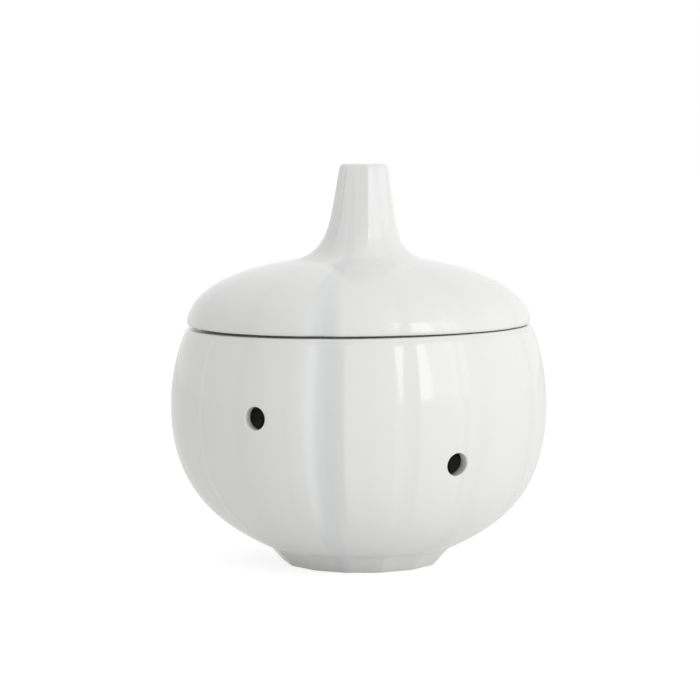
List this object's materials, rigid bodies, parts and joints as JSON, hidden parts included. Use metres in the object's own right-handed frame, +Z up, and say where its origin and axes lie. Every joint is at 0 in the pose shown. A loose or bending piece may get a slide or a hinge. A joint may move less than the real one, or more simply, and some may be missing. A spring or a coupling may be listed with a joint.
{
  "type": "garlic keeper",
  "caption": "Glazed ceramic keeper shaped like a garlic bulb: fluted pot with vent holes and a foot ring, and a lift-off domed lid whose stem is the grip.",
  "frame": {"origin": "on the surface that the foot ring stands on, at the pot's axis", "axes": "+Z up through the stem, -Y towards the front, +X to the right of someone facing it"},
  "size_m": [0.131, 0.132, 0.14],
  "materials": {
    "white_glaze": "gloss"
  },
  "bodies": {
    "pot": {"pot": "white_glaze"},
    "lid": {"lid": "white_glaze"}
  },
  "joints": [
    {"name": "lid_lift", "type": "slide", "parent": "pot", "child": "lid", "axis": [0, 0, 1], "range_m": [0, 0.08]}
  ]
}
